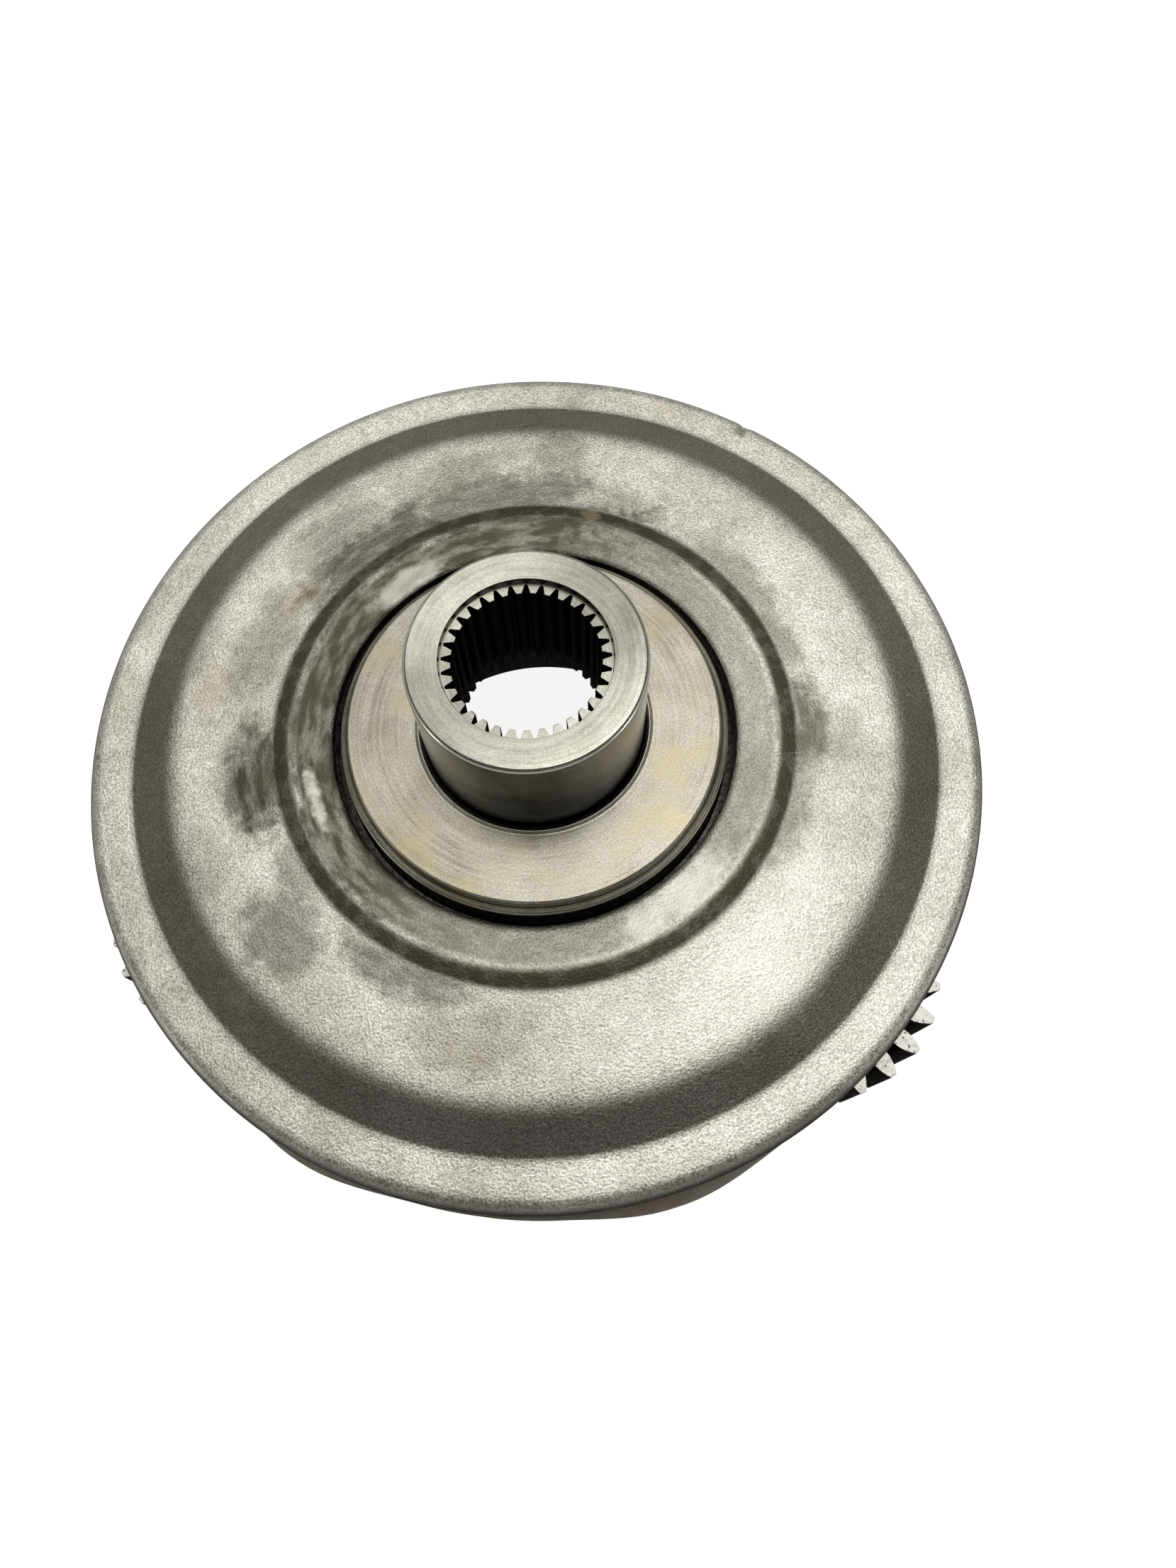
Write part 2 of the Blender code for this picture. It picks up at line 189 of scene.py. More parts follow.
def make_lights():
    make_softbox("overhead_softbox", (0.05, 0.33, 0.94), 0.9, (1.42, 1.18), 8.8, (1.0, 0.985, 0.94))
    make_softbox("key_softbox", (0.24, 0.08, 0.96), 0.85, (0.34, 0.34), 0.75, (1.0, 0.99, 0.96))
    make_softbox("left_strip", (-0.97, -0.22, 0.06), 1.1, (0.22, 0.3), 1.0)
    make_softbox("right_strip", (0.90, -0.42, 0.06), 1.1, (0.22, 0.3), 0.9)


def make_world():
    """White behind the object, and a studio in what the steel mirrors: pale near the horizon,
    dim overhead and dark below."""
    world = bpy.data.worlds.new("studio")
    world.use_nodes = True
    tree = world.node_tree
    tree.nodes.clear()
    output = tree.nodes.new("ShaderNodeOutputWorld")
    mix = tree.nodes.new("ShaderNodeMixShader")
    path = tree.nodes.new("ShaderNodeLightPath")
    room = tree.nodes.new("ShaderNodeBackground")
    backdrop = tree.nodes.new("ShaderNodeBackground")
    backdrop.inputs["Color"].default_value = BACKDROP
    place_at = tree.nodes.new("ShaderNodeTexCoord")
    split = tree.nodes.new("ShaderNodeSeparateXYZ")
    ramp = tree.nodes.new("ShaderNodeValToRGB")
    half = tree.nodes.new("ShaderNodeMath")
    half.operation = "MULTIPLY_ADD"
    half.inputs[1].default_value = 0.5
    half.inputs[2].default_value = 0.5
    fill_ramp(ramp, ROOM)
    tree.links.new(place_at.outputs["Generated"], split.inputs["Vector"])
    tree.links.new(split.outputs["Z"], half.inputs[0])
    tree.links.new(half.outputs["Value"], ramp.inputs["Fac"])
    tree.links.new(ramp.outputs["Color"], room.inputs["Color"])
    tree.links.new(path.outputs["Is Camera Ray"], mix.inputs["Fac"])
    tree.links.new(room.outputs["Background"], mix.inputs[1])
    tree.links.new(backdrop.outputs["Background"], mix.inputs[2])
    tree.links.new(mix.outputs["Shader"], output.inputs["Surface"])
    bpy.context.scene.world = world


def make_floor():
    """A pale floor with a little glow of its own. The steel doesn't mirror it."""
    bm = bmesh.new()
    bmesh.ops.create_circle(bm, cap_ends=True, segments=96, radius=FLOOR_RADIUS)
    mesh = bpy.data.meshes.new("floor")
    bm.to_mesh(mesh)
    bm.free()
    floor = bpy.data.objects.new("floor", mesh)
    bpy.context.scene.collection.objects.link(floor)
    graph = Graph("pale_floor")
    graph.shader.inputs["Base Color"].default_value = (0.42, 0.42, 0.415, 1.0)
    graph.shader.inputs["Roughness"].default_value = 0.9
    graph.shader.inputs["Specular IOR Level"].default_value = 0.1
    graph.shader.inputs["Emission Color"].default_value = BACKDROP
    graph.shader.inputs["Emission Strength"].default_value = 0.90
    mesh.materials.append(graph.material)
    floor.visible_glossy = False


# ---------------------------------------------------------------- material graphs

def fill_ramp(ramp, stops):
    """Gives a Color Ramp node these (position, colour) stops."""
    elements = ramp.color_ramp.elements
    while len(elements) > 1:
        elements.remove(elements[-1])
    for i, (position, colour) in enumerate(stops):
        element = elements[0] if i == 0 else elements.new(position)
        element.position = position
        element.color = (*colour, 1.0)


class Graph:
    """A metal's node graph. Vectors are in millimetres from the piece's own origin."""

    def __init__(self, name, metallic=0.0):
        self.material = bpy.data.materials.new(name)
        self.material.use_nodes = True
        self.tree = self.material.node_tree
        self.shader = self.tree.nodes["Principled BSDF"]
        self.shader.inputs["Metallic"].default_value = metallic
        spot = self.tree.nodes.new("ShaderNodeTexCoord").outputs["Object"]
        self.spot = self.vector("SCALE", spot, scale=1 / MM)
        split = self.add("ShaderNodeSeparateXYZ", Vector=self.spot)
        self.x, self.y, self.z = split.outputs
        squares = self.math("ADD", self.math("POWER", self.x, 2), self.math("POWER", self.y, 2))
        self.radius = self.math("SQRT", squares)
        self.angle = self.math("ARCTAN2", self.y, self.x)
        self.ragged = None  # one noise that every blot's edge shares

    def add(self, kind, settings=(), **inputs):
        node = self.tree.nodes.new(kind)
        for key, value in dict(settings).items():
            setattr(node, key, value)
        for key, value in inputs.items():
            self.plug(node.inputs[key.replace("_", " ")], value)
        return node

    def plug(self, socket, value):
        if isinstance(value, bpy.types.NodeSocket):
            self.tree.links.new(value, socket)
        else:
            socket.default_value = value

    def vector(self, operation, first, second=None, scale=None):
        node = self.tree.nodes.new("ShaderNodeVectorMath")
        node.operation = operation
        self.plug(node.inputs[0], first)
        if second is not None:
            self.plug(node.inputs[1], second)
        if scale is not None:
            node.inputs["Scale"].default_value = scale
        return node.outputs["Vector"]

    def math(self, operation, *values, clamp=False):
        node = self.tree.nodes.new("ShaderNodeMath")
        node.operation = operation
        node.use_clamp = clamp
        for socket, value in zip(node.inputs, values):
            self.plug(socket, value)
        return node.outputs["Value"]

    def noise(self, scale, detail=3.0, roughness=0.55, vector=None, distortion=0.0):
        node = self.add(
            "ShaderNodeTexNoise", Vector=vector or self.spot, Scale=scale, Detail=detail,
            Roughness=roughness, Distortion=distortion,
        )
        return node.outputs["Fac"]

    def cells(self, scale, vector=None):
        node = self.add(
            "ShaderNodeTexVoronoi", {"feature": "SMOOTH_F1"}, Vector=vector or self.spot,
            Scale=scale, Smoothness=0.6,
        )
        return node.outputs["Distance"]

    def fit(self, value, low, high, to_low=0.0, to_high=1.0):
        """value from low..high to to_low..to_high, smoothly and clamped."""
        node = self.add(
            "ShaderNodeMapRange", {"interpolation_type": "SMOOTHSTEP"}, Value=value,
            From_Min=low, From_Max=high, To_Min=to_low, To_Max=to_high,
        )
        return node.outputs["Result"]

    def times(self, *values):
        result = values[0]
        for value in values[1:]:
            result = self.math("MULTIPLY", result, value)
        return result

    def most(self, *values):
        result = values[0]
        for value in values[1:]:
            result = self.math("MAXIMUM", result, value)
        return result

    def band(self, value, start, end, soft):
        """1 between start and end, 0 outside, soft at both edges."""
        rise = self.fit(value, start - soft / 2, start + soft / 2)
        fall = self.fit(value, end - soft / 2, end + soft / 2, 1.0, 0.0)
        return self.times(rise, fall)

    def ramp(self, value, stops):
        node = self.add("ShaderNodeValToRGB", Fac=value)
        fill_ramp(node, stops)
        return node.outputs["Color"]

    def mix(self, factor, first, second, blend="MIX"):
        node = self.add("ShaderNodeMix", {"data_type": "RGBA", "blend_type": blend})
        self.plug(node.inputs["Factor"], factor)
        for socket, value in ((node.inputs[6], first), (node.inputs[7], second)):
            self.plug(socket, (*value, 1.0) if isinstance(value, tuple) else value)
        return node.outputs[2]

    def bump(self, height, strength, distance, normal=None):
        """distance is the real height in millimetres of a full step of height."""
        node = self.add("ShaderNodeBump", Height=height, Strength=strength)
        node.inputs["Distance"].default_value = distance * MM
        if normal is not None:
            self.plug(node.inputs["Normal"], normal)
        return node.outputs["Normal"]

    def around(self, per_mm, turns):
        """A vector that runs outwards and round the axis, and has no seam."""
        return self.add(
            "ShaderNodeCombineXYZ", X=self.times(self.radius, per_mm),
            Y=self.times(self.math("COSINE", self.angle), turns),
            Z=self.times(self.math("SINE", self.angle), turns)).outputs["Vector"]

    def blot(self, radius, degrees, along, across, ragged=0.5):
        """A soft-edged patch at this place: 1 in its middle, 0 outside. along is its half-length
        round the axis and across its half-width outwards."""
        turn = math.radians(degrees)
        x = self.math("SUBTRACT", self.x, radius * math.cos(turn))
        y = self.math("SUBTRACT", self.y, radius * math.sin(turn))
        out = self.math("ADD", self.times(x, math.cos(turn)), self.times(y, math.sin(turn)))
        side = self.math("SUBTRACT", self.times(y, math.cos(turn)), self.times(x, math.sin(turn)))
        away = self.math("ADD", self.math("POWER", self.times(out, 1 / across), 2),
                         self.math("POWER", self.times(side, 1 / along), 2))
        if self.ragged is None:
            self.ragged = self.math("SUBTRACT", self.noise(0.22, 6.0, 0.7), 0.5)
        rough = self.times(self.ragged, ragged * 5)
        return self.fit(self.math("ADD", away, rough), 0.15, 1.35, 1.0, 0.0)

    def finish(self, colour, roughness, normal=None):
        self.plug(self.shader.inputs["Base Color"], colour)
        self.plug(self.shader.inputs["Roughness"], roughness)
        if normal is not None:
            self.plug(self.shader.inputs["Normal"], normal)
        return self.material


# ---------------------------------------------------------------- materials

def scratches(graph, turn, length, width, density):
    """Fine straight scratches that run in one direction: 1 on a scratch, 0 off it."""
    node = graph.add("ShaderNodeMapping", Vector=graph.spot)
    node.inputs["Rotation"].default_value = (0, 0, math.radians(turn))
    node.inputs["Scale"].default_value = (1 / length, 1 / width, 1 / length)
    lines = graph.noise(1.0, 2.0, 0.5, vector=node.outputs["Vector"])
    return graph.fit(lines, 1 - density, 1 - density + 0.05)


# Patches on the cover, each as (radius, direction, half-length, half-width, depth). The dark ones
# are partly oil and partly painted shade and reflection.
OIL_AND_SHADE_PATCHES = (
    (38, 92, 32, 8, 1.0), (38, 70, 14, 6, 0.9), (47, 92, 22, 7, 0.75), (41, 55, 13, 5, 0.75),
    (46, 64, 9, 7, 0.5), (37, 145, 20, 7, 1.0), (39, 172, 14, 6, 0.95), (46, 122, 19, 8, 0.9),
    (53, 124, 12, 8, 0.55), (48, 182, 13, 7, 1.0), (39, 206, 17, 6, 0.95), (46, 205, 7, 5, 0.6),
    (54, 212, 9, 8, 0.7), (58, 77, 5, 16, 0.38), (46, 30, 10, 6, 0.5), (38, 8, 11, 4, 0.4),
    (46, 236, 14, 6, 0.75), (53, 250, 12, 7, 0.35), (38, 245, 14, 5, 0.5), (39, 335, 16, 5, 0.5),
    (46, 352, 12, 6, 0.85), (45, 330, 12, 5, 0.6), (46, 12, 9, 4, 0.6), (52, 350, 7, 5, 0.35),
    (51, 150, 14, 6, 0.5), (53, 100, 12, 8, 0.35), (61, 120, 8, 6, 0.25), (60, 195, 9, 4, 0.25),
    (64, 155, 10, 4, 0.2), (74, 190, 20, 2, 0.2), (74, 140, 20, 2, 0.15), (76, 50, 1.6, 1.3, 0.7),
)
# The bright ones are partly rubbed wear and partly painted highlight.
WEAR_AND_HIGHLIGHT_PATCHES = (
    (37, 120, 8, 2.5, 0.25), (39, 190, 6, 1.4, 0.4), (56, 135, 7, 4, 0.12),
    (38, 300, 12, 3.5, 0.35), (58, 300, 13, 8, 0.16), (52, 318, 8, 5, 0.1), (54, 275, 9, 6, 0.1),
)
STAINS = (
    (58, 163, 5, 3, 0.3), (75, 165, 7, 2, 0.15), (56, 250, 5, 3, 0.15), (66, 215, 3, 2, 0.12),
    (44, 68, 2, 1.5, 0.4), (75, 62, 3, 2, 0.2), (50, 140, 6, 3, 0.2), (60, 20, 4, 3, 0.1),
)


def pressed_steel():
    """Bare pressed steel with a fine crinkled grain, dark round the middle from oil and painted
    shade.
    """
    graph = Graph("pressed_steel", metallic=1.0)
    grain = graph.noise(2.9, 4.0, 0.66)
    crinkle = graph.cells(2.3)
    broad = graph.noise(0.045, 5.0, 0.6)
    mottle = graph.noise(0.32, 4.0, 0.62)

    tone = graph.math("ADD", graph.times(broad, 0.6), graph.times(mottle, 0.4))
    colour = graph.ramp(tone, [
        (0.38, (0.400, 0.390, 0.350)),
        (0.50, (0.520, 0.510, 0.466)),
        (0.62, (0.620, 0.610, 0.566)),
    ])
    speckle = graph.fit(grain, 0.36, 0.64, 0.60, 1.34)
    colour = graph.mix(1.0, colour, speckle, "MULTIPLY")

    # The slopes are darker, partly their own mill finish and partly painted reflection; the inner
    # step, a soft ring outside it, the crease at the foot of the outer slope and the rolled rim
    # edge are darkened as painted shade.
    uneven = graph.fit(mottle, 0.36, 0.62, 0.86, 1.0)
    slope_shade = graph.times(
        graph.fit(graph.radius, 61.6, 65.0), graph.fit(graph.radius, 70.4, 71.0, 1.0, 0.0), uneven)
    step = graph.times(
        graph.fit(graph.radius, 41.0, 43.0), graph.fit(graph.radius, 44.6, 46.4, 1.0, 0.0), uneven)
    facing = graph.math("COSINE", graph.math("SUBTRACT", graph.angle, math.radians(150)))
    halo_shade = graph.times(
        graph.fit(graph.radius, 44.0, 51.0, 1.0, 0.0), graph.fit(graph.radius, 41.5, 44.0),
        graph.fit(facing, -0.6, 0.8, 0.14, 0.34), graph.fit(broad, 0.36, 0.6, 0.4, 1.0))
    crease_shade = graph.band(graph.radius, 69.9, 70.5, 0.4)
    rolled_edge_shade = graph.times(
        graph.fit(graph.radius, 77.2, 78.6, 0.0, 0.75),
        graph.fit(graph.z, RIM_LEVEL - 5.0, RIM_LEVEL - 2.0, 0.3, 1.0))
    dark = graph.most(
        graph.times(slope_shade, 0.76), graph.times(step, 1.06), graph.times(crease_shade, 0.72), rolled_edge_shade, halo_shade)

    # Dark patches round the middle, partly oil and partly painted shade and reflection, streaked
    # the way they were rubbed.
    streak = graph.noise(1.0, 4.0, 0.6, vector=graph.around(0.6, 7.0))
    streak = graph.fit(streak, 0.32, 0.62, 0.76, 1.0)
    oil_and_shade = graph.times(
        graph.fit(graph.radius, 40.6, 42.6, 1.0, 0.0), graph.fit(facing, -0.45, 0.55, 0.60, 1.0))
    for radius, degrees, along, across, depth in OIL_AND_SHADE_PATCHES:
        oil_and_shade = graph.most(oil_and_shade, graph.times(graph.blot(radius, degrees, along, across), depth))
    dark = graph.most(dark, graph.times(oil_and_shade, streak))
    # Oil and painted shade: every dark mask above mixes in this near-black colour.
    colour = graph.mix(dark, colour, (0.058, 0.053, 0.040))

    # Bright rubbed arcs and painted highlight patches, and yellow or brown marks.
    for radius, degrees, along, across, depth in WEAR_AND_HIGHLIGHT_PATCHES:
        light = graph.times(graph.blot(radius, degrees, along, across, 0.7), depth)
        colour = graph.mix(light, colour, (0.86, 0.84, 0.78))
    for radius, degrees, along, across, depth in STAINS:
        stain = graph.times(graph.blot(radius, degrees, along, across, 0.8), depth)
        colour = graph.mix(stain, colour, (0.40, 0.34, 0.20))
    fine = graph.most(scratches(graph, 22, 26, 0.22, 0.26), scratches(graph, 118, 18, 0.2, 0.25))
    colour = graph.mix(graph.times(fine, 0.35), colour, (0.75, 0.74, 0.70))

    roughness = graph.fit(graph.math("ADD", graph.times(grain, 0.6), graph.times(mottle, 0.4)),
                          0.35, 0.68, 0.34, 0.48)
    height = graph.math("ADD", graph.times(grain, 0.7), graph.times(crinkle, 0.5))
    normal = graph.bump(height, 0.8, 0.1)
    normal = graph.bump(fine, 0.25, 0.01, normal)
    return graph.finish(colour, roughness, normal)


def turned_steel(name, light, dark, roughness, anisotropic, ring_pitch, stain=0.0,
                 painted_sheen_at=None, graininess=0.26):
    """Steel faced on a lathe: fine rings round the axis, with wear and a little staining."""
    graph = Graph(name, metallic=1.0)
    rings = graph.noise(1 / ring_pitch, 2.0, 0.6, vector=graph.around(1.0, 0.6))
    broad = graph.noise(0.11, 5.0, 0.62)
    tone = graph.math("ADD", graph.times(rings, 0.45), graph.times(broad, 0.55))
    colour = graph.ramp(tone, [(0.34, dark), (0.62, light)])
    grain = graph.noise(3.2, 4.0, 0.7)
    speck = graph.fit(grain, 0.38, 0.62, 1 - graininess, 1 + 0.7 * graininess)
    colour = graph.mix(1.0, colour, speck, "MULTIPLY")
    if stain:
        brown = graph.times(graph.fit(graph.noise(0.13, 5.0, 0.6), 0.42, 0.72), stain)
        colour = graph.mix(brown, colour, (0.34, 0.29, 0.17))
    # Painted sheen: lighter in two opposite sectors round the axis, darker between them.
    if painted_sheen_at is not None:
        across = graph.math("COSINE", graph.math("SUBTRACT", graph.angle, math.radians(painted_sheen_at)))
        painted_sheen = graph.fit(graph.math("POWER", across, 2), 0.0, 0.9, 0.70, 1.16)
        colour = graph.mix(1.0, colour, painted_sheen, "MULTIPLY")
    fine = graph.most(scratches(graph, 38, 9, 0.12, 0.27), scratches(graph, 150, 8, 0.12, 0.26))
    colour = graph.mix(graph.times(fine, 0.5), colour, (0.80, 0.79, 0.75))
    rough = graph.fit(graph.math("ADD", graph.times(broad, 0.5), graph.times(rings, 0.5)),
                      0.35, 0.66, roughness - 0.05, roughness + 0.07)
    graph.shader.inputs["Anisotropic"].default_value = anisotropic
    tangent = graph.add("ShaderNodeTangent", {"direction_type": "RADIAL", "axis": "Z"})
    graph.plug(graph.shader.inputs["Tangent"], tangent.outputs["Tangent"])
    normal = graph.bump(graph.math("ADD", rings, graph.times(grain, 1.2)), 0.5, 0.02)
    normal = graph.bump(fine, 0.2, 0.01, normal)
    return graph.finish(colour, rough, normal)


def polished_wall():
    """The hub's ground outer wall, with painted shade and reflection: near black at its foot,
    lighter towards its top.
    """
    graph = Graph("hub_wall_steel", metallic=1.0)
    broad = graph.noise(0.10, 4.0, 0.6)
    uneven = graph.times(graph.math("SUBTRACT", broad, 0.5), 9.0)
    level = graph.math("ADD", graph.z, uneven)
    # Painted shade and reflection: dark at the foot, lighter towards the top.
    colour = graph.ramp(graph.fit(level, FLANGE_TOP + 4, HUB_TOP - 1), [
        (0.0, (0.022, 0.020, 0.018)),
        (0.36, (0.045, 0.042, 0.038)),
        (0.66, (0.28, 0.27, 0.245)),
        (1.0, (0.48, 0.47, 0.43)),
    ])
    lines = graph.noise(1.0, 3.0, 0.6, vector=graph.add(
        "ShaderNodeCombineXYZ", X=graph.times(graph.x, 0.08), Y=graph.times(graph.y, 0.08),
        Z=graph.times(graph.z, 5.0)).outputs["Vector"])
    roughness = graph.fit(graph.math("ADD", graph.times(lines, 0.5), graph.times(broad, 0.5)),
                          0.35, 0.65, 0.16, 0.30)
    return graph.finish(colour, roughness, graph.bump(lines, 0.15, 0.01))


def oil_and_shade_steel(name, light, dark, roughness):
    """Machined steel with dark oil, near black as painted shade for bores and gaps."""
    graph = Graph(name, metallic=1.0)
    lines = graph.noise(0.9, 4.0, 0.6, vector=graph.add(
        "ShaderNodeCombineXYZ", X=graph.times(graph.x, 2.5), Y=graph.times(graph.y, 2.5),
        Z=graph.times(graph.z, 0.25)).outputs["Vector"])
    colour = graph.ramp(lines, [(0.35, dark), (0.68, light)])
    rough = graph.fit(graph.noise(0.7, 3.0, 0.6), 0.35, 0.65, roughness - 0.08, roughness + 0.08)
    return graph.finish(colour, rough, graph.bump(lines, 0.3, 0.03))


def gear_flank_steel():
    """Tooth flanks: painted shade with dark brown oil in the roots, lighter and rubbed bright
    towards the tips.
    """
    graph = Graph("gear_flank_steel", metallic=1.0)
    root = MODULE * PLANET_TEETH / 2 - DEDENDUM
    # Painted shade between the teeth, with dark oil: darker towards the roots.
    shade_and_wear = graph.fit(graph.radius, root + 2.6, PLANET_TIP + 0.3, 0.0, 0.8)
    patch = graph.math("ADD", shade_and_wear, graph.times(
        graph.math("SUBTRACT", graph.noise(0.7, 4.0, 0.65), 0.5), 0.9))
    colour = graph.ramp(patch, [
        (0.10, (0.016, 0.011, 0.008)),
        (0.55, (0.060, 0.042, 0.030)),
        (1.0, (0.36, 0.34, 0.30)),
    ])
    lines = graph.noise(0.8, 3.0, 0.6, vector=graph.add(
        "ShaderNodeCombineXYZ", X=graph.x, Y=graph.y, Z=graph.times(graph.z, 0.15),
    ).outputs["Vector"])
    rough = graph.fit(lines, 0.35, 0.65, 0.28, 0.44)
    return graph.finish(colour, rough, graph.bump(lines, 0.25, 0.02))


def gear_end_steel():
    """Tooth ends and gear faces: bright, coarsely ground steel with dark pits."""
    graph = Graph("gear_end_steel", metallic=1.0)
    coarse = graph.noise(1.5, 4.0, 0.7)
    pits = graph.fit(graph.cells(1.1), 0.1, 0.34, 0.0, 1.0)
    tone = graph.math("ADD", graph.times(coarse, 0.75), graph.times(pits, 0.25))
    colour = graph.ramp(tone, [
        (0.38, (0.10, 0.098, 0.088)),
        (0.48, (0.27, 0.27, 0.25)),
        (0.62, (0.52, 0.52, 0.49)),
    ])
    rough = graph.fit(coarse, 0.35, 0.65, 0.36, 0.54)
    return graph.finish(colour, rough, graph.bump(tone, 0.5, 0.06))


def carrier_iron():
    """Sintered iron: dark, pitted, with rust-brown oil film and rubbed high spots."""
    graph = Graph("carrier_iron", metallic=0.85)
    pits = graph.cells(1.3)
    grit = graph.noise(1.8, 5.0, 0.68)
    broad = graph.noise(0.07, 5.0, 0.6)
    tone = graph.math("ADD", graph.times(grit, 0.4), graph.times(broad, 0.6))
    colour = graph.ramp(tone, [
        (0.34, (0.090, 0.080, 0.068)),
        (0.52, (0.180, 0.168, 0.148)),
        (0.70, (0.320, 0.305, 0.275)),
    ])
    film = graph.fit(graph.noise(0.12, 4.0, 0.6), 0.52, 0.68, 0.0, 0.4)
    colour = graph.mix(film, colour, (0.12, 0.075, 0.040))
    rough = graph.fit(tone, 0.36, 0.66, 0.42, 0.62)
    height = graph.math("ADD", graph.times(pits, 0.5), graph.times(grit, 0.6))
    return graph.finish(colour, rough, graph.bump(height, 0.6, 0.07))


def ground_bearing_steel():
    """Ground and polished bearing steel with fine marks."""
    graph = Graph("bearing_steel", metallic=1.0)
    marks = graph.noise(0.9, 4.0, 0.6)
    colour = graph.ramp(marks, [(0.36, (0.40, 0.39, 0.37)), (0.64, (0.60, 0.59, 0.56))])
    fine = scratches(graph, 60, 10, 0.15, 0.27)
    rough = graph.fit(marks, 0.35, 0.65, 0.20, 0.34)
    return graph.finish(colour, rough, graph.bump(fine, 0.2, 0.01))


def washer_bronze():
    """Bronze thrust washers with dull, oily patches."""
    graph = Graph("bronze", metallic=1.0)
    marks = graph.noise(0.5, 5.0, 0.62)
    colour = graph.ramp(marks, [
        (0.34, (0.26, 0.155, 0.070)),
        (0.52, (0.48, 0.315, 0.160)),
        (0.68, (0.62, 0.44, 0.25)),
    ])
    rough = graph.fit(marks, 0.35, 0.65, 0.30, 0.46)
    return graph.finish(colour, rough, graph.bump(graph.noise(3.0), 0.25, 0.02))


# ---------------------------------------------------------------- outlines and profiles

def polar(radius, degrees):
    angle = math.radians(degrees)
    return (radius * math.cos(angle), radius * math.sin(angle))


def circle(radius, sides):
    return [polar(radius, 360 * i / sides) for i in range(sides)]


def softened(corners, steps=6):
    """A profile with its corners rounded, from (radius, level, reach), where reach is how far
    back along both sides the rounding starts."""
    result = []
    for i, (radius, level, reach) in enumerate(corners):
        corner = Vector((radius, level))
        if not reach or i in (0, len(corners) - 1):
            result.append((radius, level))
            continue
        before = Vector(corners[i - 1][:2]) - corner
        after = Vector(corners[i + 1][:2]) - corner
        start = corner + before.normalized() * min(reach, before.length * 0.48)
        end = corner + after.normalized() * min(reach, after.length * 0.48)
        for step in range(steps + 1):
            t = step / steps
            point = start * (1 - t) ** 2 + corner * (2 * t * (1 - t)) + end * t ** 2
            result.append((point.x, point.y))
    return result


def spread(profile, longest):
    """The same profile with extra points, so that no stretch is longer than this."""
    result = [profile[0]]
    for (r1, z1), (r2, z2) in zip(profile, profile[1:]):
        parts = max(1, math.ceil(math.hypot(r2 - r1, z2 - z1) / longest))
        for part in range(1, parts + 1):
            t = part / parts
            result.append((r1 + (r2 - r1) * t, z1 + (z2 - z1) * t))
    return result


def involute(angle):
    return math.tan(angle) - angle


def tooth_half_angle(teeth, radius):
    """Half the angle that one tooth fills at this radius."""
    pitch = MODULE * teeth / 2
    base = pitch * math.cos(PRESSURE_ANGLE)
    at_pitch = (math.pi / 2 - TOOTH_THINNING / MODULE) / teeth
    here = math.acos(min(1.0, base / radius))
    return math.degrees(at_pitch + involute(PRESSURE_ANGLE) - involute(here))


def gear_outline(teeth, tooth_at, flank_points, inset=0.0):
    """An external gear's outline. inset moves tips and flanks into the tooth, for a chamfer."""
    pitch = MODULE * teeth / 2
    root = pitch - DEDENDUM
    tip = pitch + ADDENDUM - inset
    radii = [root + (tip - root) * (i / (flank_points - 1)) ** 0.8 for i in range(flank_points)]
    outline = []
    for tooth in range(teeth):
        middle = tooth_at + 360 * tooth / teeth

        def half(radius):
            thinner = math.degrees(inset / radius) * (radius - root) / (tip - root)
            return tooth_half_angle(teeth, radius) - thinner

        outline += [polar(r, middle - half(r)) for r in radii]
        outline.append(polar(tip, middle))
        outline += [polar(r, middle + half(r)) for r in radii[::-1]]
        outline.append(polar(root - 0.12, middle + 180 / teeth))
    return outline


def sun_tooth_at():
    facing = PLANET_TEETH * (FIRST_PLANET + 180 - FIRST_TOOTH) / 360
    return FIRST_PLANET - (360 / SUN_TEETH) * (0.5 - facing)


def planet_tooth_at(number):
    direction = FIRST_PLANET + 120 * (number - 1)
    sun_phase = SUN_TEETH * (direction - sun_tooth_at()) / 360
    return direction + 180 - (360 / PLANET_TEETH) * (0.5 - sun_phase)


def inner_teeth(teeth, tooth_at, tip, root, tip_share, root_share):
    """An internal spline's outline with six points to a tooth, as (radius, degrees)."""
    pitch = 360 / teeth
    shape = (
        (root, -root_share / 2), (tip, -tip_share / 2), (tip, 0.0),
        (tip, tip_share / 2), (root, root_share / 2), (root, 0.5),
    )
    return [(r, tooth_at + pitch * (t + share)) for t in range(teeth) for r, share in shape]


def carrier_radius(degrees, base):
    from_planet = (degrees - FIRST_PLANET) % 120
    radius = base
    for lobe in (LOBE_FROM_PLANET, 120 - LOBE_FROM_PLANET):
        off = (from_planet - lobe) / LOBE_HALF_WIDTH
        if abs(off) < 1:
            radius += LOBE_HEIGHT * math.cos(math.pi / 2 * off) ** 2
    return radius


# ---------------------------------------------------------------- meshes

def loop_of(bm, outline, level):
    return [bm.verts.new((x * MM, y * MM, level * MM)) for x, y in outline]


def join_loops(bm, lower, upper):
    """Joins two loops, by quads where they match and by a flat fill where they don't."""
    count = len(lower)
    if count == len(upper):
        for i in range(count):
            j = (i + 1) % count
            bm.faces.new((lower[i], lower[j], upper[j], upper[i]))
        return
    edges = []
    for ring in (lower, upper):
        for i, vert in enumerate(ring):
            after = ring[(i + 1) % len(ring)]
            edges.append(bm.edges.get((vert, after)) or bm.edges.new((vert, after)))
    bmesh.ops.triangle_fill(bm, use_beauty=True, use_dissolve=False, edges=edges)


